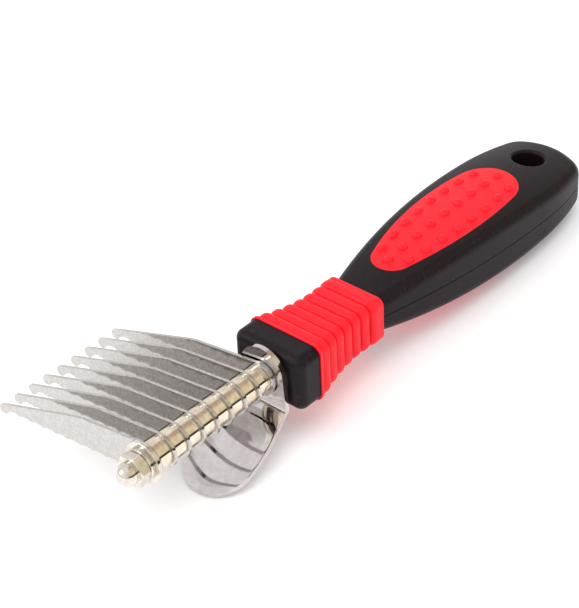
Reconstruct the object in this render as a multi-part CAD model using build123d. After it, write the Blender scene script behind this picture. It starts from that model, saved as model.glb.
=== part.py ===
from build123d import *
import math
import os

# Dematting comb: nine hooked steel blades on a threaded stud, a sheet thumb rest
# and a moulded handle with soft grips.
# Frame: X along the stud towards the handle's rear end, Y towards the blade tips,
# Z up, all in millimetres. The pieces are drawn about the stud, whose axis is the
# X axis with the rear-most blade at X = 0, and are then moved together so that the
# origin is the centre of the footprint, at the height of the lowest point.

# ---------------------------------------------------------------- driving sizes
BLADE_COUNT = 9
BLADE_PITCH = 5.0          # blade centre to blade centre
BLADE_T = 0.8              # blade sheet
STUD_R = 2.5               # M5 stud
RUN = 0.05                 # radial running clearance of what turns on the stud
FACE_GAP = 0.04            # play between faces that turn against each other

# Blade outline, in its own plane (Y, Z)
ROOT_R = 4.85              # rounded root about the stud
KNEE = (22.5, 1.7)         # where the spine bends down
KNEE_R = 9.0
BULB = (51.8, -10.25)      # centre of the safety bulb at the hooked tip
BULB_R = 1.5
EDGE_END = (46.0, -9.9)    # last cusp of the cutting edge
EDGE_START_Y = 5.6         # first cusp of the cutting edge
SCALLOPS = 9
SCALLOP_DEPTH = 0.5

# Spacers between blades
SPACER_R = 4.1
SPACER_BORE_R = STUD_R + RUN

# Thumb rest
REST_T = 1.3               # sheet
REST_R = 7.5               # half-width of the upright at the bend
REST_HEAD_R = 6.9          # its round top, centred above the stud
REST_HEAD_Z = 1.8
REST_BEND_Z = -8.0         # where the sheet turns forward
REST_SLOPE = 23.5          # fall of the paddle, degrees
PADDLE_HALF_W = 10.4
PADDLE_FRONT_X = -25.4

# Washers and cap nut
SHIM_R, SHIM_T = 4.4, 0.4
REAR_WASHER_R, REAR_WASHER_T = 6.5, 0.8
FLAT_WASHER_R, FLAT_WASHER_T = 5.8, 1.2
SPRING_WASHER_R, SPRING_WASHER_T = 4.5, 1.2
NUT_AF, NUT_HEX_L = 7.8, 3.0   # across flats, length of the hexagon
NUT_TURN = 47.0                # a corner's angle from Y, degrees
DOME_R, DOME_L = 3.0, 3.6      # low cap of the nut
NUT_BORE_DEPTH = 4.2

# Handle
GUARD_X0, GUARD_X1 = 3.0, 10.0     # square guard at the front
GUARD_HALF_W, GUARD_HALF_H = 11.4, 8.2
SLEEVE_X1 = 38.0                   # rear end of the ribbed sleeve
NECK_HALF_W, NECK_HALF_H = 6.6, 4.8
GRIP_END = 124.7
GRIP_TOP = 10.1                    # highest point of the grip over the stud axis
GRIP_APEX_X = 84.0
GRIP_ARCH_R = 244.0                # arch along the handle
GRIP_CROWN_R = 48.0                # crown across the handle
GRIP_HALF_W = 14.9
GRIP_EDGE_R = 3.2
HOLE_X, HOLE_R, HOLE_RIM = 112.5, 4.5, 0.8
SEAM = 0.22                        # width and depth of the mould seam

# Stud inside the handle
STUD_X0 = -46.9
STUD_HEAD_X0, STUD_HEAD_X1 = 30.0, 34.0
STUD_HEAD_AF = 8.0

# Oval pads: a blunt rear circle, a smaller front circle and two long side arcs
PAD_T = 1.2
PAD_HALF_W, PAD_WIDEST_X = 10.1, 80.0
PAD_FRONT_X, PAD_FRONT_R = 53.0, 6.0
PAD_REAR_X = 92.5
BUMP_H, BUMP_BASE_R = 1.1, 1.45
BUMP_PITCH = 5.93
BUMP_FIRST_X = 98.4
BUMPS_MIDDLE, BUMPS_SIDE = 9, 8
BUMP_SIDE_SHARE = 0.69             # side rows, as a share of the pad's half-width

# Ribbed sleeve
RIB_PITCH = 3.63
RIB_W = 3.35
RIBS = 6
RIB_H = 1.0
RIB_FIRST_X = 13.0
FLANGE_L = 1.2


# ---------------------------------------------------------------- helpers
def x_plane(x):
    """Plane across the stud at x, whose own X is the model's Y and own Y is Z."""
    return Plane(origin=(x, 0, 0), x_dir=(0, 1, 0), z_dir=(1, 0, 0))


def x_ring(x0, x1, outer_r, bore_r=0.0):
    """Round tube or disc about the stud, from x0 to x1."""
    ring = Circle(outer_r)
    if bore_r:
        ring = ring - Circle(bore_r)
    return extrude(x_plane(x0) * ring, x1 - x0)


def x_box(x0, x1, half_w, half_h, corner):
    """Rounded rectangular bar about the stud's axis, from x0 to x1."""
    return extrude(x_plane(x0) * RectangleRounded(2 * half_w, 2 * half_h, corner), x1 - x0)


def tangent_from(point, centre, radius, side):
    """Touching point on a circle of the line from a point; side is +1 or -1."""
    dy, dz = point[0] - centre[0], point[1] - centre[1]
    reach = math.hypot(dy, dz)
    turn = math.atan2(dz, dy) + side * math.acos(radius / reach)
    return (centre[0] + radius * math.cos(turn), centre[1] + radius * math.sin(turn))


# ---------------------------------------------------------------- blades
def blade_outline():
    """Hooked blade: round root, bent spine, bulb at the tip, scalloped lower edge."""
    root = (0.0, 0.0)
    spine_0 = tangent_from(KNEE, root, ROOT_R, +1)
    spine_1 = tangent_from(KNEE, BULB, BULB_R, -1)
    edge_0 = tangent_from(EDGE_END, root, ROOT_R, -1)
    slope = (EDGE_END[1] - edge_0[1]) / (EDGE_END[0] - edge_0[0])
    first = (EDGE_START_Y, edge_0[1] + slope * (EDGE_START_Y - edge_0[0]))

    # The knee is a short arc between the two straight stretches of the spine
    trim = KNEE_R * math.tan(math.radians(7.0))
    knee_in = point_towards(KNEE, spine_0, trim)
    knee_out = point_towards(KNEE, spine_1, trim)
    knee_mid = point_towards(KNEE, (KNEE[0], 0.0), 0.12 * trim)

    lines = [
        Line(spine_0, knee_in),
        ThreePointArc(knee_in, knee_mid, knee_out),
        Line(knee_out, spine_1),
    ]
    # Round the bulb, then the hook's notch back up to the cutting edge
    bulb_tip = (BULB[0] + BULB_R * math.cos(-0.6), BULB[1] + BULB_R * math.sin(-0.6))
    bulb_end = (BULB[0] + BULB_R * math.cos(3.55), BULB[1] + BULB_R * math.sin(3.55))
    notch_top = (0.5 * (EDGE_END[0] + bulb_end[0]), EDGE_END[1] + 0.35)
    lines.append(ThreePointArc(spine_1, bulb_tip, bulb_end))
    lines.append(ThreePointArc(bulb_end, notch_top, EDGE_END))

    step = (EDGE_END[0] - first[0]) / SCALLOPS
    cusp = EDGE_END
    for k in range(SCALLOPS):
        y_next = EDGE_END[0] - (k + 1) * step
        nxt = (y_next, EDGE_END[1] + slope * (y_next - EDGE_END[0]))
        mid = (0.5 * (cusp[0] + nxt[0]), 0.5 * (cusp[1] + nxt[1]) + SCALLOP_DEPTH)
        lines.append(ThreePointArc(cusp, mid, nxt))
        cusp = nxt
    lines.append(Line(cusp, edge_0))
    lines.append(ThreePointArc(edge_0, (-ROOT_R, 0.0), spine_0))
    return make_face(lines)


def point_towards(start, target, distance):
    """Point at a distance from start on the way to target."""
    dy, dz = target[0] - start[0], target[1] - start[1]
    reach = math.hypot(dy, dz)
    return (start[0] + dy / reach * distance, start[1] + dz / reach * distance)


def blade_x(number):
    """Centre of blade 1 (front) to BLADE_COUNT (rear)."""
    return -BLADE_PITCH * (BLADE_COUNT - number)


def blade(number):
    sheet = blade_outline() - Circle(STUD_R + RUN)
    return extrude(x_plane(blade_x(number) - BLADE_T / 2) * sheet, BLADE_T)


def spacer(number):
    x0 = blade_x(number) + BLADE_T / 2
    tube = x_ring(x0, x0 + BLADE_PITCH - BLADE_T, SPACER_R, SPACER_BORE_R)
    return chamfer(tube.edges().filter_by(GeomType.CIRCLE).group_by(SortBy.RADIUS)[-1], 0.15)


# ---------------------------------------------------------------- thumb rest
REST_X = BLADE_T / 2 + FACE_GAP + SHIM_T   # front face of the upright


def rest_sheet():
    """Bent strip seen from the side: an upright, then a paddle falling forward."""
    fall = math.radians(REST_SLOPE)
    front = REST_X
    back = REST_X + REST_T
    run = front - PADDLE_FRONT_X + 1.0
    turn = REST_T * math.tan((math.pi / 2 - fall) / 2)
    top = REST_HEAD_Z + REST_HEAD_R + 1.0
    profile = Polyline(
        (front, top),
        (back, top),
        (back, REST_BEND_Z - turn),
        (front - run, REST_BEND_Z - turn - (run + REST_T) * math.tan(fall)),
        (front - run - REST_T * math.sin(fall),
         REST_BEND_Z - turn - (run + REST_T) * math.tan(fall) + REST_T * math.cos(fall)),
        (front, REST_BEND_Z),
        close=True,
    )
    face = Plane.XZ * make_face(profile)
    strip = extrude(face, PADDLE_HALF_W + 1.0, both=True)
    along_y = strip.edges().filter_by(Axis.Y)
    outer = along_y.sort_by(lambda e: (e.center() - Vector(back, 0, REST_BEND_Z - turn)).length)[0]
    strip = fillet(outer, 1.2 + REST_T)
    inner = strip.edges().filter_by(Axis.Y).sort_by(
        lambda e: (e.center() - Vector(front, 0, REST_BEND_Z)).length)[0]
    return fillet(inner, 1.2)


def thumb_rest():
    side = tangent_from((REST_R, REST_BEND_Z), (0.0, REST_HEAD_Z), REST_HEAD_R, 1)
    upright = make_face([
        Line((-REST_R, REST_BEND_Z - 10), (REST_R, REST_BEND_Z - 10)),
        Line((REST_R, REST_BEND_Z - 10), (REST_R, REST_BEND_Z)),
        Line((REST_R, REST_BEND_Z), side),
        ThreePointArc(side, (0.0, REST_HEAD_Z + REST_HEAD_R), (-side[0], side[1])),
        Line((-side[0], side[1]), (-REST_R, REST_BEND_Z)),
        Line((-REST_R, REST_BEND_Z), (-REST_R, REST_BEND_Z - 10)),
    ])
    upright = extrude(x_plane(REST_X - 0.5) * upright, REST_T + 1.0)
    flare = (REST_X - 5.3, 8.95)
    shoulder = (-13.0, 10.25)
    start = (REST_X + REST_T + 0.5, REST_R)
    outline = make_face([
        Line((start[0], -start[1]), start),
        ThreePointArc(start, flare, shoulder),
        ThreePointArc(shoulder, (PADDLE_FRONT_X, 0.0), (shoulder[0], -shoulder[1])),
        ThreePointArc((shoulder[0], -shoulder[1]), (flare[0], -flare[1]), (start[0], -start[1])),
    ])
    paddle = Pos(0, 0, -40) * extrude(outline, 40 + REST_BEND_Z + 2.5)
    rest = rest_sheet() & (upright + paddle)
    rest = rest - x_ring(REST_X - 1, REST_X + REST_T + 1, STUD_R + RUN)
    return rest


# ---------------------------------------------------------------- hardware
def shim_washer():
    return x_ring(BLADE_T / 2, BLADE_T / 2 + SHIM_T, SHIM_R, STUD_R + RUN)


def rear_washer():
    washer = x_ring(GUARD_X0 - REAR_WASHER_T, GUARD_X0, REAR_WASHER_R, STUD_R)
    return washer


FRONT_X = blade_x(1) - BLADE_T / 2 - FACE_GAP   # rear face of the flat washer


def flat_washer():
    washer = x_ring(FRONT_X - FLAT_WASHER_T, FRONT_X, FLAT_WASHER_R, STUD_R + 2 * RUN)
    rims = washer.edges().filter_by(GeomType.CIRCLE).group_by(SortBy.RADIUS)[-1]
    return fillet(rims, 0.25)


def spring_washer():
    """Split ring, with its cut on a slant."""
    x1 = FRONT_X - FLAT_WASHER_T
    ring = x_ring(x1 - SPRING_WASHER_T, x1, SPRING_WASHER_R, STUD_R + 2 * RUN)
    cut = Box(4 * SPRING_WASHER_T, 0.7, 3.0)
    cut = Pos(x1 - SPRING_WASHER_T / 2, 0, 3.9) * Rot(0, 0, 35) * cut
    return ring - Rot(-70, 0, 0) * cut


NUT_X1 = FRONT_X - FLAT_WASHER_T - SPRING_WASHER_T - FACE_GAP


def cap_nut():
    """Hexagon with chamfered corners, a domed cap and a blind bore."""
    corner_r = NUT_AF / math.sqrt(3)
    hexagon = x_plane(NUT_X1 - NUT_HEX_L) * RegularPolygon(corner_r, 6, rotation=NUT_TURN)
    nut = extrude(hexagon, NUT_HEX_L)
    barrel = x_ring(NUT_X1 - NUT_HEX_L, NUT_X1, corner_r + 0.02)
    barrel = chamfer(barrel.edges().filter_by(GeomType.CIRCLE), 0.45, 0.55)
    nut = nut & barrel
    x_hex = NUT_X1 - NUT_HEX_L
    x_round = x_hex - (DOME_L - DOME_R)
    top = DOME_R * math.sqrt(0.5)
    half = make_face([
        Line((x_hex + 1, 0), (x_hex + 1, DOME_R)),
        Line((x_hex + 1, DOME_R), (x_round, DOME_R)),
        ThreePointArc((x_round, DOME_R), (x_round - top, top), (x_round - DOME_R, 0)),
        Line((x_round - DOME_R, 0), (x_hex + 1, 0)),
    ])
    cap = revolve(half, Axis.X, 360)
    return nut + cap - x_ring(NUT_X1 - NUT_BORE_DEPTH, NUT_X1 + 1, STUD_R + RUN)


def clamp_stud():
    """Threaded stud with a hexagonal head held inside the handle."""
    shank = x_ring(STUD_X0, STUD_HEAD_X0, STUD_R)
    shank = chamfer(shank.edges().group_by(Axis.X)[0], 0.5)
    head = x_plane(STUD_HEAD_X0) * RegularPolygon(STUD_HEAD_AF / math.sqrt(3), 6)
    return shank + extrude(head, STUD_HEAD_X1 - STUD_HEAD_X0)


# ---------------------------------------------------------------- handle
def arched_barrel(inset=0.0):
    """Body under the grip's arched and crowned top and bottom faces."""
    top = GRIP_TOP - inset
    axis_z = top - GRIP_CROWN_R
    arch_r = GRIP_ARCH_R - inset

    def height(x):
        return top - (arch_r - math.sqrt(arch_r ** 2 - (x - GRIP_APEX_X) ** 2))

    x0, x1 = 34.0, 134.0
    side = make_face([
        Line((x0, axis_z), (x0, height(x0))),
        ThreePointArc((x0, height(x0)), (GRIP_APEX_X, top), (x1, height(x1))),
        Line((x1, height(x1)), (x1, axis_z)),
        Line((x1, axis_z), (x0, axis_z)),
    ])
    spin = Axis((0, 0, axis_z), (1, 0, 0))
    upper = revolve(Plane.XZ * side, spin, 360)
    lower = Rot(180, 0, 0) * upper
    return upper & lower


def grip_top_z(x, y, inset=0.0):
    """Height of the grip's top face."""
    fall = GRIP_ARCH_R - math.sqrt(GRIP_ARCH_R ** 2 - (x - GRIP_APEX_X) ** 2)
    crown = GRIP_CROWN_R - fall
    return GRIP_TOP - inset - GRIP_CROWN_R + math.sqrt(crown ** 2 - y ** 2)


def grip_plan():
    """Grip seen from above: narrow neck, long flare, blunt rounded end."""
    neck = (36.5, 7.6)
    belly = (66.0, 13.1)
    widest = (98.0, GRIP_HALF_W)
    corner = (121.5, 11.8)
    upper_side = ThreePointArc(neck, belly, widest)
    upper_rear = ThreePointArc(widest, (110.5, 14.2), corner)
    end = ThreePointArc(corner, (GRIP_END, 0.0), (corner[0], -corner[1]))
    lower_rear = ThreePointArc((corner[0], -corner[1]), (110.5, -14.2), (widest[0], -widest[1]))
    lower_side = ThreePointArc((widest[0], -widest[1]), (belly[0], -belly[1]), (neck[0], -neck[1]))
    front = Line((neck[0], -neck[1]), neck)
    plan = make_face([front, upper_side, upper_rear, end, lower_rear, lower_side])
    corners = plan.vertices().filter_by(lambda v: v.X > 120)
    return fillet(corners, 6.5)


def grip_body():
    block = Pos(0, 0, -20) * extrude(grip_plan(), 40)
    body = block & arched_barrel()
    rims = [e for e in body.edges() if e.bounding_box().size.X > 1.0 and abs(e.center().Z) > 3.0]
    rims = [e for e in rims if e.bounding_box().max.X > 40.0]
    return fillet(rims, GRIP_EDGE_R)


def mould_seam(body):
    """Fine groove round the grip where the two halves of the mould met."""
    plan = grip_plan()
    ring = extrude(offset(plan, 3.0), SEAM / 2, both=True) - extrude(offset(plan, -SEAM), SEAM, both=True)
    keep = Pos(SLEEVE_X1 + 0.5 + 60, 0, 0) * Box(120, 60, 2)
    return body - (ring & keep)


def pad_outline():
    """Egg-shaped outline from three tangent arcs, blunt end to the rear."""
    side_r, side_y, rear_r = pad_arcs()
    front_r = PAD_FRONT_R

    def touch(cx, r):
        away = math.hypot(cx - PAD_WIDEST_X, side_y)
        return (cx + (cx - PAD_WIDEST_X) / away * r, side_y / away * r)

    f = touch(PAD_FRONT_X, front_r)
    r = touch(PAD_REAR_X, rear_r)
    return make_face([
        ThreePointArc(f, (PAD_WIDEST_X, PAD_HALF_W), r),
        ThreePointArc(r, (PAD_REAR_X + rear_r, 0.0), (r[0], -r[1])),
        ThreePointArc((r[0], -r[1]), (PAD_WIDEST_X, -PAD_HALF_W), (f[0], -f[1])),
        ThreePointArc((f[0], -f[1]), (PAD_FRONT_X - front_r, 0.0), f),
    ])


def pad_arcs():
    """Radius and centre offset of the pad's side arcs, and its rear radius."""
    reach = PAD_WIDEST_X - PAD_FRONT_X
    side_r = (reach ** 2 + PAD_HALF_W ** 2 - PAD_FRONT_R ** 2) / (2 * (PAD_HALF_W - PAD_FRONT_R))
    side_y = side_r - PAD_HALF_W
    rear_r = side_r - math.hypot(PAD_REAR_X - PAD_WIDEST_X, side_y)
    return side_r, side_y, rear_r


def pad_half_width(x):
    side_r, side_y, rear_r = pad_arcs()
    if x > PAD_REAR_X:
        return math.sqrt(max(rear_r ** 2 - (x - PAD_REAR_X) ** 2, 0.0))
    return math.sqrt(side_r ** 2 - (x - PAD_WIDEST_X) ** 2) - side_y


def bump_places():
    """Middle row, and two side rows that follow the pad's edge."""
    places = [(BUMP_FIRST_X - BUMP_PITCH * k, 0.0) for k in range(BUMPS_MIDDLE)]
    for k in range(BUMPS_SIDE):
        x = BUMP_FIRST_X - BUMP_PITCH * (k + 0.5)
        y = BUMP_SIDE_SHARE * pad_half_width(x)
        places += [(x, y), (x, -y)]
    return places


def grip_pad():
    """Top pad, flush with the grip, with rounded bumps that stand proud of it."""
    column = Pos(0, 0, 0.5) * extrude(pad_outline(), 15)
    pad = column & arched_barrel()
    ball_r = (BUMP_BASE_R ** 2 + BUMP_H ** 2) / (2 * BUMP_H)
    for x, y in bump_places():
        pad = pad + Pos(x, y, grip_top_z(x, y) + BUMP_H - ball_r) * Sphere(ball_r)
    return pad - arched_barrel(PAD_T)


def guard():
    """Square guard behind the thumb rest, with softened front edges."""
    block = x_box(GUARD_X0, GUARD_X1, GUARD_HALF_W, GUARD_HALF_H, 2.8)
    return fillet(block.faces().sort_by(Axis.X)[0].edges(), 2.2)


def handle_core(stud):
    neck = x_box(GUARD_X1 - 1, SLEEVE_X1 + 3, NECK_HALF_W, NECK_HALF_H, 1.5)
    body = mould_seam(grip_body()) + neck + guard()
    body = body - Pos(HOLE_X, 0, 0) * Cylinder(HOLE_R, 40)
    mouths = [e for e in body.edges() if abs(e.bounding_box().size.Y - 2 * HOLE_R) < 0.1
              and abs(e.bounding_box().center().X - HOLE_X) < 0.1]
    body = fillet(mouths, HOLE_RIM)
    recess = Pos(0, 0, 0.5) * extrude(pad_outline(), 15) - arched_barrel(PAD_T)
    body = body - recess - Rot(180, 0, 0) * recess
    return body - stud


# ---------------------------------------------------------------- ribbed sleeve
def sleeve_half(x):
    """Half-width and half-height over the ribs: waisted, flaring to the guard."""
    flare = max(30.0 - x, 0.0) / 18.0
    rear = max(x - 30.0, 0.0) / 8.0
    return (9.1 + 2.5 * flare ** 2 + 0.4 * rear, 6.95 + 1.45 * flare ** 2)


def rib(x_mid, width):
    half_w, half_h = sleeve_half(x_mid)
    bar = x_box(x_mid - width / 2, x_mid + width / 2, half_w, half_h, 3.0)
    rims = bar.faces().sort_by(Axis.X)[0].edges() + bar.faces().sort_by(Axis.X)[-1].edges()
    return fillet(rims, 1.5)


def grip_sleeve():
    stations = [GUARD_X1 + FLANGE_L - 0.2, 16.0, 23.0, 30.0, SLEEVE_X1 - 0.4]
    sections = []
    for x in stations:
        half_w, half_h = sleeve_half(x)
        shape = RectangleRounded(2 * (half_w - RIB_H), 2 * (half_h - RIB_H), 2.0)
        sections.append(x_plane(x) * shape)
    sleeve = loft(sections)
    for k in range(RIBS):
        sleeve = sleeve + rib(RIB_FIRST_X + k * RIB_PITCH, RIB_W)
    last = RIB_FIRST_X + RIBS * RIB_PITCH
    sleeve = sleeve + rib(last + 0.2, RIB_W + 0.4)

    half_w, half_h = sleeve_half(SLEEVE_X1)
    cuff = x_box(last, SLEEVE_X1, half_w - 0.4, half_h - 0.4, 2.2)
    sleeve = sleeve + fillet(cuff.faces().sort_by(Axis.X)[-1].edges(), 0.5)
    lip = x_box(GUARD_X1, GUARD_X1 + FLANGE_L, GUARD_HALF_W + 0.3, GUARD_HALF_H + 0.3, 2.6)
    sleeve = sleeve + fillet(lip.faces().sort_by(Axis.X)[-1].edges(), 0.5)
    neck = x_box(GUARD_X1 - 1, SLEEVE_X1 + 3, NECK_HALF_W, NECK_HALF_H, 1.5)
    return sleeve - neck - grip_body()


# ---------------------------------------------------------------- write the parts
def build_parts():
    stud = clamp_stud()
    pad_top = grip_pad()
    pad_bottom = Rot(180, 0, 0) * pad_top
    parts = {
        "handle_core": handle_core(stud),
        "grip_sleeve": grip_sleeve(),
        "grip_pad_top": pad_top,
        "grip_pad_bottom": pad_bottom,
        "clamp_stud": stud,
        "rear_washer": rear_washer(),
        "thumb_rest": thumb_rest(),
        "shim_washer": shim_washer(),
        "flat_washer": flat_washer(),
        "spring_washer": spring_washer(),
        "cap_nut": cap_nut(),
    }
    for number in range(1, BLADE_COUNT + 1):
        parts[f"blade_{number}"] = blade(number)
    for number in range(1, BLADE_COUNT):
        parts[f"spacer_{number}"] = spacer(number)
    return parts


def placed(parts):
    """Move all parts so that the origin is at the centre of the footprint."""
    box = Compound(list(parts.values())).bounding_box()
    middle = box.center()
    shift = Pos(-middle.X, -middle.Y, -box.min.Z)
    print("stud axis and rear blade at", -middle.X, -middle.Y, -box.min.Z)
    print("size", box.size)
    return {name: shift * shape for name, shape in parts.items()}


os.makedirs("parts", exist_ok=True)
for name, shape in placed(build_parts()).items():
    export_step(shape, f"parts/{name}.step")
    print(name, round(shape.volume, 1), "mm3,", len(shape.solids()), "solid")
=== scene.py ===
import logging
import math
from collections.abc import Callable, Sequence
from dataclasses import dataclass
from enum import Enum

import bmesh
import bpy
from mathutils import Matrix, Vector


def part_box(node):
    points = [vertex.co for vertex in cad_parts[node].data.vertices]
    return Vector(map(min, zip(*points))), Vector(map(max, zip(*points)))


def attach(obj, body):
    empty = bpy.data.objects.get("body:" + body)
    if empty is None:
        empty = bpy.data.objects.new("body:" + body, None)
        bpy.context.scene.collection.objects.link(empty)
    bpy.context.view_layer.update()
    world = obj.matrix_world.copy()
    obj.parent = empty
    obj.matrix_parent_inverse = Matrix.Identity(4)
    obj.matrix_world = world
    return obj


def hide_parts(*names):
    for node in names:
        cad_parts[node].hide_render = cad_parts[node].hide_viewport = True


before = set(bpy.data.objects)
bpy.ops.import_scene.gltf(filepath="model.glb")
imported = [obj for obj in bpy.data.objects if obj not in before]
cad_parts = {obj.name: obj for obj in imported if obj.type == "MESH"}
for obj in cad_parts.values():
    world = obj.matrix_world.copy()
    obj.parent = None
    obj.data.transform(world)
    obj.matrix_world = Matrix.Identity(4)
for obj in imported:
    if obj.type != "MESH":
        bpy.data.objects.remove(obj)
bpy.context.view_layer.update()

log = logging.getLogger("comb")

MM = 0.001
STUD_LOW, STUD_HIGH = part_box("clamp_stud")
AXIS_Y = (STUD_LOW.y + STUD_HIGH.y) / 2
AXIS_Z = (STUD_LOW.z + STUD_HIGH.z) / 2
REST_LOW, REST_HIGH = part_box("thumb_rest")

Rgb = tuple[float, float, float]
Point = tuple[float, float, float]


# ---------------------------------------------------------------- shader kit
def tint(red: float, green: float, blue: float) -> tuple[float, float, float, float]:
    """Turn a display colour, 0 to 255 a channel, into a scene colour.

    Args:
        red: Red channel.
        green: Green channel.
        blue: Blue channel.

    Returns:
        Linear red, green, blue and an opacity of one.
    """
    def linear(channel: float) -> float:
        """Undo the display curve of one channel."""
        share = channel / 255
        return share / 12.92 if share <= 0.04045 else ((share + 0.055) / 1.055) ** 2.4

    return linear(red), linear(green), linear(blue), 1.0


class Num:
    """A number in a shader, with the operators of Python arithmetic."""

    def __init__(self, recipe: "Recipe", socket: bpy.types.NodeSocket) -> None:
        """Wrap a socket.

        Args:
            recipe: The node tree that the socket belongs to.
            socket: The output socket that carries the number.
        """
        self.recipe = recipe
        self.socket = socket

    def _with(self, operation: str, *terms: "Num | float") -> "Num":
        """Add one Math node.

        Args:
            operation: Blender's name of the operation.
            terms: The node's inputs in order.

        Returns:
            The node's result.
        """
        node = self.recipe.node(
            "ShaderNodeMath", {"operation": operation}, dict(enumerate(terms)))
        return Num(self.recipe, node.outputs[0])

    def __add__(self, other: "Num | float") -> "Num":
        """Sum."""
        return self._with("ADD", self, other)

    __radd__ = __add__

    def __sub__(self, other: "Num | float") -> "Num":
        """Difference."""
        return self._with("SUBTRACT", self, other)

    def __rsub__(self, other: "Num | float") -> "Num":
        """Difference with the number on the right."""
        return self._with("SUBTRACT", other, self)

    def __mul__(self, other: "Num | float") -> "Num":
        """Product."""
        return self._with("MULTIPLY", self, other)

    __rmul__ = __mul__

    def __truediv__(self, other: "Num | float") -> "Num":
        """Quotient."""
        return self._with("DIVIDE", self, other)

    def __rtruediv__(self, other: "Num | float") -> "Num":
        """Quotient with the number below the line."""
        return self._with("DIVIDE", other, self)

    def __pow__(self, other: "Num | float") -> "Num":
        """Power."""
        return self._with("POWER", self, other)

    def __abs__(self) -> "Num":
        """Size without sign."""
        return self._with("ABSOLUTE", self)

    def step(self, low: float, high: float) -> "Num":
        """Rise smoothly from 0 at low to 1 at high.

        Args:
            low: Where the rise starts.
            high: Where it ends; below low for a fall.

        Returns:
            The eased share, from 0 to 1.
        """
        node = self.recipe.node(
            "ShaderNodeMapRange", {"interpolation_type": "SMOOTHSTEP"},
            {"Value": self, "From Min": low, "From Max": high, "To Min": 0.0, "To Max": 1.0})
        return Num(self.recipe, node.outputs["Result"])


class Recipe:
    """A node tree being written."""

    def __init__(self, tree: bpy.types.NodeTree) -> None:
        """Start from an empty tree.

        Args:
            tree: The tree of a material or world.
        """
        self.tree = tree
        tree.nodes.clear()

    def node(
        self, kind: str, settings: dict[str, object] | None = None,
        inputs: dict[str | int, object] | None = None,
    ) -> bpy.types.Node:
        """Add any node.

        Args:
            kind: The node's type.
            settings: Attributes to set first; "stops" gives a ramp's places and colours.
            inputs: Values or links by socket name or number.

        Returns:
            The new node.
        """
        made = self.tree.nodes.new(kind)
        for name, value in (settings or {}).items():
            if name == "stops":
                self._set_stops(made, value)
            else:
                setattr(made, name, value)
        for key, value in (inputs or {}).items():
            socket = made.inputs[key]
            if isinstance(value, Num):
                self.tree.links.new(value.socket, socket)
            elif isinstance(value, bpy.types.NodeSocket):
                self.tree.links.new(value, socket)
            else:
                socket.default_value = value
        return made

    @staticmethod
    def _set_stops(made: bpy.types.Node, stops: Sequence[tuple[float, Sequence[float]]]) -> None:
        """Give a colour ramp its stops.

        Args:
            made: The ramp node.
            stops: Place and colour of each stop, in rising order.
        """
        ramp = made.color_ramp
        while len(ramp.elements) > 1:
            ramp.elements.remove(ramp.elements[-1])
        ramp.elements[0].position, ramp.elements[0].color = stops[0]
        for place, colour in stops[1:]:
            ramp.elements.new(place).color = colour

    def place(self) -> bpy.types.NodeSocket:
        """Give the point on the surface, in the piece's own coordinates."""
        return self.node("ShaderNodeTexCoord").outputs["Object"]

    def turned(
        self, point: bpy.types.NodeSocket, centre: Point, stretch: Point,
    ) -> bpy.types.NodeSocket:
        """Centre and stretch coordinates.

        Args:
            point: The coordinates.
            centre: The point that becomes the origin.
            stretch: Factor along each axis.

        Returns:
            The mapped coordinates.
        """
        shift = tuple(-c * s for c, s in zip(centre, stretch))
        return self.node(
            "ShaderNodeMapping", {}, {"Vector": point, "Location": shift, "Scale": stretch},
        ).outputs["Vector"]

    def split(self, point: bpy.types.NodeSocket) -> tuple[Num, Num, Num]:
        """Take coordinates apart.

        Args:
            point: The coordinates.

        Returns:
            The three numbers.
        """
        node = self.node("ShaderNodeSeparateXYZ", {}, {"Vector": point})
        return Num(self, node.outputs[0]), Num(self, node.outputs[1]), Num(self, node.outputs[2])

    def grain(self, point: bpy.types.NodeSocket, size: float, detail: float = 2.0,
              rough: float = 0.5) -> Num:
        """Cloudy noise.

        Args:
            point: Coordinates that it follows.
            size: Rough size of its spots, metres.
            detail: Number of finer layers.
            rough: Share of each finer layer.

        Returns:
            Noise about 0.5.
        """
        node = self.node(
            "ShaderNodeTexNoise", {},
            {"Vector": point, "Scale": 1 / size, "Detail": detail, "Roughness": rough})
        return Num(self, node.outputs["Fac"])

    def blend(self, share: Num | float, first: object, second: object) -> bpy.types.NodeSocket:
        """Mix two colours.

        Args:
            share: Share of the second one.
            first: Colour or socket.
            second: Colour or socket.

        Returns:
            The mixed colour.
        """
        node = self.node("ShaderNodeMix", {"data_type": "RGBA"}, {0: share, 6: first, 7: second})
        return node.outputs[2]

    def bumped(self, height: Num, depth: float, strength: float = 1.0) -> bpy.types.NodeSocket:
        """Turn a height into a shading normal.

        Args:
            height: The height, 0 to 1.
            depth: Metres that a height of one stands for.
            strength: Share of the effect.

        Returns:
            The normal.
        """
        node = self.node(
            "ShaderNodeBump", {}, {"Height": height, "Distance": depth, "Strength": strength})
        return node.outputs["Normal"]

    def surface(self, **inputs: object) -> None:
        """Finish with one Principled shader.

        Args:
            inputs: Its sockets, with _ for each blank in a name.
        """
        named = {name.replace("_", " "): value for name, value in inputs.items()}
        shader = self.node("ShaderNodeBsdfPrincipled", {}, named)
        self.node("ShaderNodeOutputMaterial", {}, {"Surface": shader.outputs[0]})


def new_material(name: str) -> tuple[bpy.types.Material, Recipe]:
    """Start a material.

    Args:
        name: Its name.

    Returns:
        The material and its open node tree.
    """
    material = bpy.data.materials.new(name)
    material.use_nodes = True
    return material, Recipe(material.node_tree)


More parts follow.
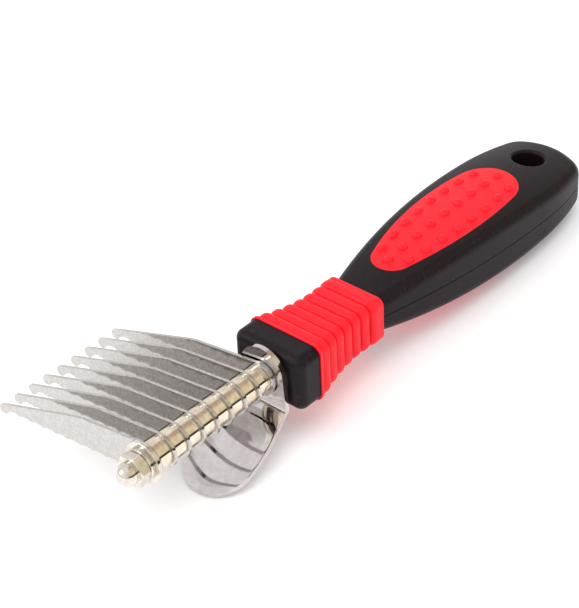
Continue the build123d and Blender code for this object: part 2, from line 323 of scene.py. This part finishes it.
# ---------------------------------------------------------------- finishes
@dataclass(frozen=True)
class SatinPlastic:
    """Black moulded plastic with a fine spark-eroded grain."""

    name: str = "satin_black_plastic"
    top: Rgb = (20, 12, 17)
    rubbed: Rgb = (58, 48, 52)
    grain_size: float = 0.42 * MM
    grain_depth: float = 0.016 * MM

    def make(self) -> bpy.types.Material:
        """Write the material."""
        material, r = new_material(self.name)
        point = r.place()
        fine = r.grain(point, self.grain_size, 3.0, 0.6)
        broad = r.grain(point, 9 * MM, 2.0, 0.5)
        speck = r.grain(point, 0.9 * MM, 2.0, 0.7).step(0.56, 0.74)
        colour = r.blend(speck * 0.35 + broad * 0.12, tint(*self.top), tint(*self.rubbed))
        r.surface(
            Base_Color=colour, Roughness=0.33 + fine * 0.10 + broad * 0.06, Specular_IOR_Level=0.17,
            Normal=r.bumped(fine + speck * 0.4, self.grain_depth, 0.8))
        return material


@dataclass(frozen=True)
class SoftGrip:
    """Red thermoplastic rubber, smooth with a satin bloom."""

    name: str = "soft_red_grip"
    body: Rgb = (236, 4, 28)
    bloom: Rgb = (242, 20, 42)
    grain_size: float = 0.30 * MM
    grain_depth: float = 0.006 * MM

    def make(self) -> bpy.types.Material:
        """Write the material."""
        material, r = new_material(self.name)
        point = r.place()
        cloud = r.grain(point, 7 * MM, 3.0, 0.55)
        fine = r.grain(point, self.grain_size, 2.0, 0.5)
        colour = r.blend(cloud.step(0.38, 0.66) * 0.35, tint(*self.body), tint(*self.bloom))
        r.surface(
            Base_Color=colour, Roughness=0.40 + cloud * 0.12 + fine * 0.05,
            Specular_IOR_Level=0.36,
            Normal=r.bumped(fine + cloud * 0.5, self.grain_depth, 0.6))
        return material


@dataclass(frozen=True)
class BladeSteel:
    """Ground stainless sheet with a fine mottle and faint long scratches."""

    name: str = "blade_steel"
    light: Rgb = (206, 203, 200)
    dark: Rgb = (188, 185, 182)
    roughness: float = 0.05

    def make(self) -> bpy.types.Material:
        """Write the material."""
        material, r = new_material(self.name)
        point = r.place()
        mottle = r.grain(point, 0.8 * MM, 3.0, 0.7)
        drawn = r.grain(
            r.turned(point, (0, 0, 0), (1.0, 0.06, 1.0)), 0.12 * MM, 2.0, 0.5)
        colour = r.blend(mottle.step(0.35, 0.68), tint(*self.dark), tint(*self.light))
        r.surface(
            Base_Color=colour, Metallic=1.0,
            Roughness=self.roughness + mottle * 0.05 + drawn * 0.03,
            Normal=r.bumped(drawn + mottle * 0.6, 0.0004 * MM, 0.5))
        return material


@dataclass(frozen=True)
class MirrorSheet:
    """Polished stainless sheet with faint buffing marks."""

    name: str = "mirror_sheet"
    light: Rgb = (214, 209, 208)
    dark: Rgb = (200, 194, 193)
    roughness: float = 0.03

    def make(self) -> bpy.types.Material:
        """Write the material."""
        material, r = new_material(self.name)
        point = r.place()
        haze = r.grain(point, 3.5 * MM, 3.0, 0.6)
        buff = r.grain(r.turned(point, (0, 0, 0), (0.05, 1.0, 1.0)), 0.10 * MM, 2.0, 0.5)
        speck = r.grain(point, 0.35 * MM, 2.0, 0.6)
        colour = r.blend(haze.step(0.35, 0.7), tint(*self.dark), tint(*self.light))
        r.surface(
            Base_Color=colour, Metallic=1.0,
            Roughness=self.roughness + haze * 0.03 + speck * 0.02,
            Normal=r.bumped(buff + speck * 0.5, 0.0002 * MM, 0.4))
        return material


@dataclass(frozen=True)
class NickelPlate:
    """Bright nickel plate over turned steel, with faint turning marks along the stud."""

    name: str = "bright_nickel"
    light: Rgb = (238, 229, 212)
    dark: Rgb = (220, 207, 187)
    roughness: float = 0.035

    def make(self) -> bpy.types.Material:
        """Write the material."""
        material, r = new_material(self.name)
        point = r.place()
        haze = r.grain(point, 1.6 * MM, 3.0, 0.6)
        turning = r.grain(r.turned(point, (0, 0, 0), (1.0, 0.02, 0.02)), 0.09 * MM, 2.0, 0.5)
        colour = r.blend(haze.step(0.36, 0.68), tint(*self.dark), tint(*self.light))
        r.surface(
            Base_Color=colour, Metallic=1.0,
            Roughness=self.roughness + haze * 0.03 + turning * 0.02,
            Normal=r.bumped(turning + haze * 0.3, 0.0003 * MM, 0.5))
        return material


@dataclass(frozen=True)
class ZincPlate:
    """Zinc plated steel, duller than nickel."""

    name: str = "zinc_plate"
    light: Rgb = (214, 214, 216)
    dark: Rgb = (180, 180, 184)
    roughness: float = 0.16

    def make(self) -> bpy.types.Material:
        """Write the material."""
        material, r = new_material(self.name)
        point = r.place()
        spangle = r.grain(point, 1.1 * MM, 3.0, 0.6)
        colour = r.blend(spangle.step(0.36, 0.66), tint(*self.dark), tint(*self.light))
        r.surface(
            Base_Color=colour, Metallic=1.0, Roughness=self.roughness + spangle * 0.12,
            Normal=r.bumped(spangle, 0.0015 * MM, 0.6))
        return material


@dataclass(frozen=True)
class SweepPaper:
    """White paper that fades out far from the object and can be seen only from above."""

    name: str = "white_paper"
    shade: Rgb = (247, 246, 246)
    glow: float = 0.10
    solid_radius: float = 0.42
    fade_radius: float = 0.60

    def make(self) -> bpy.types.Material:
        """Write the material."""
        material, r = new_material(self.name)
        point = r.place()
        fibre = r.grain(point, 2 * MM, 3.0, 0.6)
        matt = r.node("ShaderNodeBsdfDiffuse", {}, {"Color": r.blend(
            fibre * 0.2, tint(*self.shade), tint(240, 239, 238))})
        glow = r.node(
            "ShaderNodeEmission", {}, {"Color": tint(255, 255, 255), "Strength": self.glow})
        paper = r.node("ShaderNodeAddShader", {}, {0: matt.outputs[0], 1: glow.outputs[0]})
        clear = r.node("ShaderNodeBsdfTransparent")
        length = r.node("ShaderNodeVectorMath", {"operation": "LENGTH"}, {0: point})
        far = Num(r, length.outputs["Value"])
        under = Num(r, r.node("ShaderNodeNewGeometry").outputs["Backfacing"])
        hidden = 1 - (1 - far.step(self.solid_radius, self.fade_radius)) * (1 - under)
        both = r.node(
            "ShaderNodeMixShader", {}, {0: hidden, 1: paper.outputs[0], 2: clear.outputs[0]})
        r.node("ShaderNodeOutputMaterial", {}, {"Surface": both.outputs[0]})
        return material


# ---------------------------------------------------------------- modelling kit
def deselect() -> None:
    """Leave edit mode and clear the selection."""
    if bpy.context.object and bpy.context.object.mode != "OBJECT":
        bpy.ops.object.mode_set(mode="OBJECT")
    bpy.ops.object.select_all(action="DESELECT")


def pick(piece: bpy.types.Object) -> None:
    """Select one object alone and make it active.

    Args:
        piece: The object.
    """
    deselect()
    piece.select_set(True)
    bpy.context.view_layer.objects.active = piece


def choose(piece: bpy.types.Object, test: Callable[[Vector], bool]) -> None:
    """Select, in edit mode, the vertices that pass a test on their place.

    Args:
        piece: The object in edit mode.
        test: Says whether a place is wanted.
    """
    bpy.ops.mesh.select_mode(type="VERT")
    bpy.ops.mesh.select_all(action="DESELECT")
    mesh = bmesh.from_edit_mesh(piece.data)
    for vertex in mesh.verts:
        vertex.select_set(test(vertex.co))
    mesh.select_flush(True)
    bmesh.update_edit_mesh(piece.data)


def settle(piece: bpy.types.Object, name: str, material: bpy.types.Material) -> bpy.types.Object:
    """Apply modifiers and place, name the piece and give it its finish.

    Args:
        piece: The finished object.
        name: Its name.
        material: Its finish.

    Returns:
        The same object, sitting at the origin.
    """
    pick(piece)
    for modifier in list(piece.modifiers):
        bpy.ops.object.modifier_apply(modifier=modifier.name)
    bpy.ops.object.transform_apply(location=True, rotation=True, scale=True)
    piece.name = name
    piece.data.name = name
    piece.data.materials.clear()
    piece.data.materials.append(material)
    return piece


def dress(node: str, material: bpy.types.Material) -> None:
    """Give a CAD node its finish.

    Args:
        node: The node's name.
        material: Its finish.
    """
    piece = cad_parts[node]
    piece.data.materials.clear()
    piece.data.materials.append(material)


def break_edges(piece: bpy.types.Object, radius: float, segments: int, corner: float) -> None:
    """Round sharp edges and keep the faces beside them flat.

    Args:
        piece: The object.
        radius: Size of the rounding.
        segments: Its steps.
        corner: Least angle of an edge that is rounded, degrees.
    """
    pick(piece)
    bpy.ops.object.shade_smooth_by_angle(angle=math.radians(corner - 5))
    edge = piece.modifiers.new("broken_edge", "BEVEL")
    edge.width, edge.segments = radius, segments
    edge.limit_method, edge.angle_limit = "ANGLE", math.radians(corner)
    edge.harden_normals = True
    bpy.ops.object.modifier_apply(modifier=edge.name)


def rounded(node: str, body: str, material: bpy.types.Material, radius: float,
            segments: int = 2, corner: float = 35.0) -> bpy.types.Object:
    """Model a CAD node again with its sharp edges broken.

    Args:
        node: The CAD node, which the new piece replaces.
        body: The body that it moves with.
        material: Its finish.
        radius: Size of the broken edge.
        segments: Steps of the rounding.
        corner: Least angle of an edge that is broken, degrees.

    Returns:
        The finished piece.
    """
    pick(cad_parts[node])
    bpy.ops.object.duplicate()
    piece = bpy.context.object
    piece.parent = None
    for key in list(piece.keys()):
        del piece[key]
    bpy.ops.object.mode_set(mode="EDIT")
    bpy.ops.mesh.select_all(action="SELECT")
    bpy.ops.mesh.remove_doubles(threshold=0.002 * MM)
    bpy.ops.mesh.customdata_custom_splitnormals_clear()
    bpy.ops.mesh.dissolve_limited(angle_limit=math.radians(0.3))
    bpy.ops.mesh.select_all(action="SELECT")
    bpy.ops.mesh.mark_sharp(clear=True)
    bpy.ops.object.mode_set(mode="OBJECT")
    break_edges(piece, radius, segments, corner)
    settle(piece, node + "_finished", material)
    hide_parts(node)
    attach(piece, body)
    return piece


def ease(share: float) -> float:
    """Ease a share from 0 to 1."""
    share = min(max(share, 0.0), 1.0)
    return share * share * (3 - 2 * share)


# ---------------------------------------------------------------- the comb
@dataclass
class Handle:
    """Moulded core with soft grips, the stud that it holds and the washer in front of it."""

    plastic: bpy.types.Material
    grip: bpy.types.Material
    zinc: bpy.types.Material

    def build(self) -> None:
        """Dress the handle's nodes."""
        dress("handle_core", self.plastic)
        for node in ("grip_sleeve", "grip_pad_top", "grip_pad_bottom"):
            dress(node, self.grip)
        for node in ("clamp_stud", "rear_washer"):
            dress(node, self.zinc)
        log.info("handle dressed")


@dataclass
class BladePack:
    """Nine blades and the spacers between them."""

    steel: bpy.types.Material
    nickel: bpy.types.Material
    blades: int = 9

    def build(self) -> None:
        """Dress blades and spacers."""
        for number in range(1, self.blades + 1):
            rounded(f"blade_{number}", "blade_pack", self.steel, 0.04 * MM)
        for number in range(1, self.blades):
            rounded(f"spacer_{number}", "blade_pack", self.nickel, 0.15 * MM)
        log.info("%d blades and %d spacers dressed", self.blades, self.blades - 1)


@dataclass
class ThumbRest:
    """Polished sheet: a round-topped upright on the stud, bent forward into a dished thumb rest.

    Lengths are metres. Places along the stud are counted from the upright's front face.
    """

    mirror: bpy.types.Material
    zinc: bpy.types.Material
    sheet: float = 1.3 * MM
    edge: float = 0.2 * MM
    half_upright: float = 7.5 * MM
    head_radius: float = 6.9 * MM
    head_rise: float = 1.8 * MM
    hole_radius: float = 2.56 * MM
    bend_drop: float = 8.0 * MM
    bend_radius: float = 1.2 * MM
    slope: float = math.radians(23.5)
    half_width: float = 10.4 * MM
    dish: float = 1.5 * MM
    valley_run: float = 9.0 * MM
    fade_run: float = 9.0 * MM
    rim: float = 0.3 * MM
    across: int = 17
    rings: int = 26

    @property
    def trough_end(self) -> float:
        """Where the trough starts to rise towards the tip."""
        return self.face_x - self.valley_run

    @property
    def face_x(self) -> float:
        """Front face of the upright."""
        return REST_HIGH.x - self.sheet

    def outline(self) -> tuple[list[tuple[float, float]], float]:
        """Points round the paddle, starting with the rear edge.

        Returns:
            Places along and across the stud, and where the round front is centred.
        """
        radius = self.half_width
        centre = REST_LOW.x + radius
        rear = self.bend_end().x
        points = []
        for i in range(self.across):
            points.append((rear, -self.half_upright + 2 * self.half_upright * i / (self.across - 1)))
        sides, front = 14, 40
        for i in range(1, sides):
            x = rear + (centre - rear) * i / sides
            points.append((x, self.side(x, rear, centre)))
        for i in range(front + 1):
            turn = math.pi / 2 + math.pi * i / front
            points.append((centre + radius * math.cos(turn), radius * math.sin(turn)))
        for i in range(sides - 1, 0, -1):
            x = rear + (centre - rear) * i / sides
            points.append((x, -self.side(x, rear, centre)))
        return points, centre

    def side(self, x: float, rear: float, centre: float) -> float:
        """Half-width between the bend and the round front.

        Args:
            x: The place along the stud.
            rear: Where the paddle leaves the bend.
            centre: Where the round front is centred.

        Returns:
            The half-width there.
        """
        share = (rear - x) / (rear - centre)
        widening = self.half_width - self.half_upright
        return self.half_upright + widening * math.sin(share * math.pi / 2)

    def bend_end(self) -> Vector:
        """Where the top face leaves the bend, on the middle line."""
        turn = math.pi / 2 - self.slope
        reach = self.bend_radius * math.tan(turn / 2)
        corner = Vector((self.face_x, AXIS_Y, AXIS_Z - self.bend_drop))
        return corner + Vector((-math.cos(self.slope), 0, -math.sin(self.slope))) * reach

    def top_at(self, x: float, y: float, centre: float) -> float:
        """Height of the dished top face.

        Args:
            x: Place along the stud.
            y: Place across, from the stud's axis.
            centre: Where the round front is centred.

        Returns:
            Its height.
        """
        corner_z = AXIS_Z - self.bend_drop
        plane = corner_z - (self.face_x - x) * math.tan(self.slope)
        rear = self.bend_end().x
        edge = self.half_width if x < centre else self.side(x, rear, centre)
        across = min(abs(y) / (edge - self.rim), 1.0)
        ahead = min(max((self.trough_end - x) / (self.trough_end - REST_LOW.x - self.rim), 0.0), 1.0)
        fade = ease((rear - x) / self.fade_run)
        return plane - self.dish * (1 - across * across) * (1 - ahead * ahead) * fade

    def build(self) -> bpy.types.Object:
        """Model the sheet.

        Returns:
            The finished piece.
        """
        head = self.head_plate()
        paddle = self.paddle_fan()
        pick(head)
        paddle.select_set(True)
        bpy.ops.object.join()
        sheet = bpy.context.object
        bpy.ops.object.mode_set(mode="EDIT")
        bpy.ops.mesh.select_all(action="SELECT")
        bpy.ops.mesh.remove_doubles(threshold=0.02 * MM)
        bpy.ops.mesh.normals_make_consistent(inside=False)
        mesh = bmesh.from_edit_mesh(sheet.data)
        tip = min(mesh.faces, key=lambda f: f.calc_center_median().x)
        if tip.normal.z < 0:
            bpy.ops.mesh.flip_normals()
        bpy.ops.object.mode_set(mode="OBJECT")
        wall = sheet.modifiers.new("wall", "SOLIDIFY")
        wall.thickness, wall.offset, wall.use_even_offset = self.sheet, -1.0, True
        bpy.ops.object.modifier_apply(modifier=wall.name)
        break_edges(sheet, self.edge, 3, 50)
        settle(sheet, "thumb_rest_sheet", self.mirror)
        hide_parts("thumb_rest")
        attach(sheet, "thumb_rest")
        dress("shim_washer", self.zinc)
        log.info("thumb rest: %d faces", len(sheet.data.polygons))
        return sheet

    def head_plate(self) -> bpy.types.Object:
        """Model the upright with its stud hole, and the bend below it.

        Returns:
            An open surface whose last row is the paddle's rear edge.
        """
        reach = self.bend_radius * math.tan((math.pi / 2 - self.slope) / 2)
        bend_top = AXIS_Z - self.bend_drop + reach
        foot = bend_top - AXIS_Z
        reach = math.hypot(self.half_upright, -self.bend_drop - self.head_rise)
        away = math.atan2(-self.bend_drop - self.head_rise, self.half_upright)
        touch = away + math.acos(self.head_radius / reach)
        side = (self.head_radius * math.cos(touch), self.head_rise + self.head_radius * math.sin(touch))
        low = self.half_upright - 0.02 * MM
        rim: list[tuple[float, float]] = []
        for i in range(self.across):
            rim.append((-self.half_upright + 2 * self.half_upright * i / (self.across - 1), foot))
        for i in range(1, 6):
            rim.append((low + (side[0] - low) * i / 6, foot + (side[1] - foot) * i / 6))
        for i in range(41):
            turn = touch + (math.pi - 2 * touch) * i / 40
            rim.append((self.head_radius * math.cos(turn),
                        self.head_rise + self.head_radius * math.sin(turn)))
        for i in range(5, 0, -1):
            rim.append((-low - (side[0] - low) * i / 6, foot + (side[1] - foot) * i / 6))
        deselect()
        bpy.ops.mesh.primitive_circle_add(
            vertices=len(rim), radius=self.hole_radius, fill_type="NOTHING",
            location=(self.face_x, AXIS_Y, AXIS_Z), rotation=(0, math.pi / 2, 0))
        plate = bpy.context.object
        bpy.ops.object.transform_apply(location=True, rotation=True, scale=True)
        bpy.ops.object.mode_set(mode="EDIT")
        bpy.ops.mesh.select_all(action="SELECT")
        mesh = bmesh.from_edit_mesh(plate.data)
        mesh.verts.ensure_lookup_table()
        for vertex, (y, z) in zip(self.ring_order(mesh), rim):
            turn = math.atan2(z, y)
            vertex.co = Vector((self.face_x, AXIS_Y + self.hole_radius * math.cos(turn),
                                AXIS_Z + self.hole_radius * math.sin(turn)))
        bmesh.update_edit_mesh(plate.data)
        bpy.ops.mesh.extrude_edges_move()
        mesh = bmesh.from_edit_mesh(plate.data)
        outer = [v for v in mesh.verts if v.select]
        for vertex in outer:
            turn = math.atan2(vertex.co.z - AXIS_Z, vertex.co.y - AXIS_Y)
            y, z = min(
                rim, key=lambda p: abs(math.remainder(math.atan2(p[1], p[0]) - turn, math.tau)))
            vertex.co = Vector((self.face_x, AXIS_Y + y, AXIS_Z + z))
        bmesh.update_edit_mesh(plate.data)
        choose(plate, lambda p: p.z < AXIS_Z + foot + 0.001 * MM)
        bpy.ops.mesh.spin(
            steps=7, angle=self.slope - math.pi / 2, axis=(0, 1, 0),
            center=(self.face_x - self.bend_radius, AXIS_Y, bend_top))
        bpy.ops.object.mode_set(mode="OBJECT")
        return plate

    @staticmethod
    def ring_order(mesh: bmesh.types.BMesh) -> list[bmesh.types.BMVert]:
        """List a closed ring's vertices in order.

        Args:
            mesh: The mesh, which is one ring of edges.

        Returns:
            Its vertices, each next to the one before.
        """
        start = mesh.verts[0]
        ring, seen = [start], {start}
        while True:
            ahead = [e.other_vert(ring[-1]) for e in ring[-1].link_edges]
            ahead = [v for v in ahead if v not in seen]
            if not ahead:
                return ring
            ring.append(ahead[0])
            seen.add(ahead[0])

    def paddle_fan(self) -> bpy.types.Object:
        """Model the paddle as rings that shrink from its outline to its middle.

        Returns:
            The dished top face.
        """
        points, centre = self.outline()
        deselect()
        bpy.ops.mesh.primitive_circle_add(
            vertices=len(points), radius=self.half_width, fill_type="NOTHING",
            location=(centre, AXIS_Y, AXIS_Z))
        fan = bpy.context.object
        bpy.ops.object.transform_apply(location=True, rotation=True, scale=True)
        bpy.ops.object.mode_set(mode="EDIT")
        mesh = bmesh.from_edit_mesh(fan.data)
        mesh.verts.ensure_lookup_table()
        for vertex, (x, y) in zip(self.ring_order(mesh), points):
            vertex.co = Vector((x, AXIS_Y + y, AXIS_Z))
        bmesh.update_edit_mesh(fan.data)
        bpy.ops.mesh.select_all(action="SELECT")
        middle = (centre + 3 * MM, AXIS_Y, AXIS_Z)
        steps = [1 - self.rim / self.half_width * 0.5, 1 - self.rim / self.half_width]
        steps += [steps[-1] * (1 - i / self.rings) for i in range(1, self.rings)]
        size = 1.0
        for step in steps:
            bpy.ops.mesh.extrude_edges_move()
            bpy.ops.transform.resize(value=(step / size,) * 3, center_override=middle)
            size = step
        bpy.ops.mesh.merge(type="CENTER")
        mesh = bmesh.from_edit_mesh(fan.data)
        for vertex in mesh.verts:
            vertex.co.z = self.top_at(vertex.co.x, vertex.co.y - AXIS_Y, centre)
        bmesh.update_edit_mesh(fan.data)
        bpy.ops.object.mode_set(mode="OBJECT")
        return fan


@dataclass
class ClampHardware:
    """Washers and cap nut in front of the blades."""

    nickel: bpy.types.Material

    def build(self) -> None:
        """Dress nut and washers."""
        for node in ("flat_washer", "spring_washer"):
            rounded(node, "front_washers", self.nickel, 0.18 * MM)
        rounded("cap_nut", "cap_nut", self.nickel, 0.12 * MM)
        log.info("clamp hardware dressed")


# ---------------------------------------------------------------- the studio
class Softbox(Enum):
    """Softboxes: place, aim, side lengths, power, colour and whether gloss shows it."""

    OVERHEAD = ((-0.26, -0.10, 0.80), (0.0, 0.0, 0.0), (0.70, 0.60), 2.6, (1.0, 0.985, 0.98), False)
    LEFT = ((-0.75, 0.45, 0.45), (0.0, 0.0, 0.0), (0.50, 0.50), 1.8, (0.97, 0.98, 1.0), True)


@dataclass
class Studio:
    """Paper sweep, surroundings, softboxes and camera."""

    eye: Point = (-0.3321, -0.3044, 0.3414)
    heading: float = math.radians(42.921)
    fall: float = math.radians(36.047)
    roll: float = math.radians(-2.905)
    lens: float = 123.83
    warm: Rgb = (238, 228, 200)
    rose: Rgb = (206, 186, 172)
    back: Rgb = (250, 247, 244)
    cool: Rgb = (255, 255, 255)
    gap: Rgb = (62, 52, 44)
    below: Rgb = (250, 249, 246)
    plain: Rgb = (253, 253, 253)
    balance_x: float = 5 * MM
    hull_points: int = 40000
    least_down: float = 0.6
    paper_radius: float = 620 * MM
    paper_drop: float = 0.05 * MM

    def build(self) -> None:
        """Set everything up."""
        self.sweep()
        self.surroundings()
        for box in Softbox:
            self.softbox(box)
        self.camera()
        bpy.context.scene.view_settings.view_transform = "Standard"
        log.info("studio ready")

    def resting_plane(self) -> tuple[Vector, Vector]:
        """Find the plane that the comb lies on.

        Returns:
            A point of the plane and its upward normal.
        """
        points = [v.co.copy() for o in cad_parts.values() for v in o.data.vertices]
        low = sorted(points, key=lambda p: p.z)[: len(points) // 2]
        stride = 1 if len(low) < self.hull_points else 2
        body = bmesh.new()
        for p in low[::stride]:
            body.verts.new(p)
        bmesh.ops.convex_hull(body, input=body.verts)
        middle = Vector((self.balance_x, AXIS_Y, AXIS_Z))
        best, under = None, None
        for face in body.faces:
            if face.normal.z > -self.least_down:
                continue
            drop = (face.verts[0].co - middle).dot(face.normal) / -face.normal.z
            spot = middle - Vector((0, 0, abs(drop)))
            below = bmesh.geometry.intersect_face_point(face, spot)
            if below and (best is None or face.calc_area() > best):
                best, under = face.calc_area(), (face.verts[0].co.copy(), -face.normal.copy())
        body.free()
        log.info("resting plane: %s", under)
        return under if under else (Vector((0, 0, 0)), Vector((0, 0, 1)))

    def sweep(self) -> None:
        """Lay the paper under the comb."""
        point, normal = self.resting_plane()
        deselect()
        bpy.ops.mesh.primitive_circle_add(vertices=96, radius=self.paper_radius, fill_type="NGON")
        paper = bpy.context.object
        paper.name = "paper"
        height = point.z - (normal.x * (0 - point.x) + normal.y * (0 - point.y)) / normal.z
        turn = Vector((0, 0, 1)).rotation_difference(normal).to_matrix().to_4x4()
        paper.matrix_world = Matrix.Translation((0, 0, height - self.paper_drop)) @ turn
        paper.data.materials.append(SweepPaper().make())

    def surroundings(self) -> None:
        """Surround the comb with what its metals mirror, and light it evenly.

        There is a white wall on the left, one behind, a rose and a cream one on the right, and a dark
        gap above the floor on the right.
        """
        world = bpy.data.worlds.new("studio")
        bpy.context.scene.world = world
        world.use_nodes = True
        r = Recipe(world.node_tree)
        way = r.node("ShaderNodeTexCoord").outputs["Generated"]
        x, y, z = r.split(way)
        left = (x * -0.85 + y * 0.45 + z * 0.25).step(-0.05, 0.55)
        warm = r.blend(y.step(-0.50, -0.15), tint(*self.warm), tint(*self.rose))
        warm = r.blend(y.step(0.10, 0.30), warm, tint(*self.back))
        wall = r.blend(left, warm, tint(*self.cool))
        near_floor = (1 - z.step(0.16, 0.30)) * (1 - left) * (1 - y.step(0.05, 0.30))
        upper = r.blend(near_floor, wall, tint(*self.gap))
        seen = r.blend(z.step(-0.03, 0.0), tint(*self.below), upper)
        plain = r.node(
            "ShaderNodeBackground", {}, {"Color": tint(*self.plain), "Strength": 1.0})
        lit = r.node("ShaderNodeBackground", {}, {"Color": seen, "Strength": 1.0})
        gloss = r.node("ShaderNodeLightPath").outputs["Is Glossy Ray"]
        both = r.node(
            "ShaderNodeMixShader", {}, {0: gloss, 1: plain.outputs[0], 2: lit.outputs[0]})
        r.node("ShaderNodeOutputWorld", {}, {"Surface": both.outputs[0]})

    @staticmethod
    def softbox(box: Softbox) -> None:
        """Hang one softbox.

        Args:
            box: Which one.
        """
        place, aim, sides, power, colour, glossy = box.value
        light = bpy.data.lights.new(box.name.lower(), "AREA")
        light.shape = "RECTANGLE"
        light.size, light.size_y = sides
        light.energy = power
        light.color = colour
        lamp = bpy.data.objects.new(box.name.lower(), light)
        lamp.location = place
        lamp.rotation_mode = "QUATERNION"
        lamp.rotation_quaternion = (Vector(aim) - Vector(place)).to_track_quat("-Z", "Y")
        lamp.visible_camera = False
        lamp.visible_glossy = glossy
        bpy.context.scene.collection.objects.link(lamp)

    def camera(self) -> None:
        """Set the camera up at its viewing angle."""
        ahead = Vector((math.cos(self.heading) * math.cos(self.fall),
                        math.sin(self.heading) * math.cos(self.fall), -math.sin(self.fall)))
        right = Vector((math.sin(self.heading), -math.cos(self.heading), 0.0))
        up = right.cross(ahead)
        c, s = math.cos(self.roll), math.sin(self.roll)
        right, up = right * c + up * s, up * c - right * s
        data = bpy.data.cameras.new("eye")
        data.lens, data.sensor_width = self.lens, 36.0
        data.clip_start, data.clip_end = 0.01, 10.0
        eye = bpy.data.objects.new("eye", data)
        turn = Matrix((right, up, -ahead)).transposed().to_4x4()
        eye.matrix_world = Matrix.Translation(self.eye) @ turn
        bpy.context.scene.collection.objects.link(eye)
        bpy.context.scene.camera = eye


def main() -> None:
    """Build every sub-assembly, then the studio."""
    logging.basicConfig(level=logging.INFO, format="%(name)s: %(message)s")
    nickel, zinc = NickelPlate().make(), ZincPlate().make()
    nut_nickel = NickelPlate(
        name="nut_nickel", light=(228, 223, 214), dark=(208, 201, 190), roughness=0.02).make()
    Handle(SatinPlastic().make(), SoftGrip().make(), zinc).build()
    BladePack(BladeSteel().make(), nickel).build()
    ThumbRest(MirrorSheet().make(), zinc).build()
    ClampHardware(nut_nickel).build()
    Studio().build()


if __name__ == "__main__":
    main()
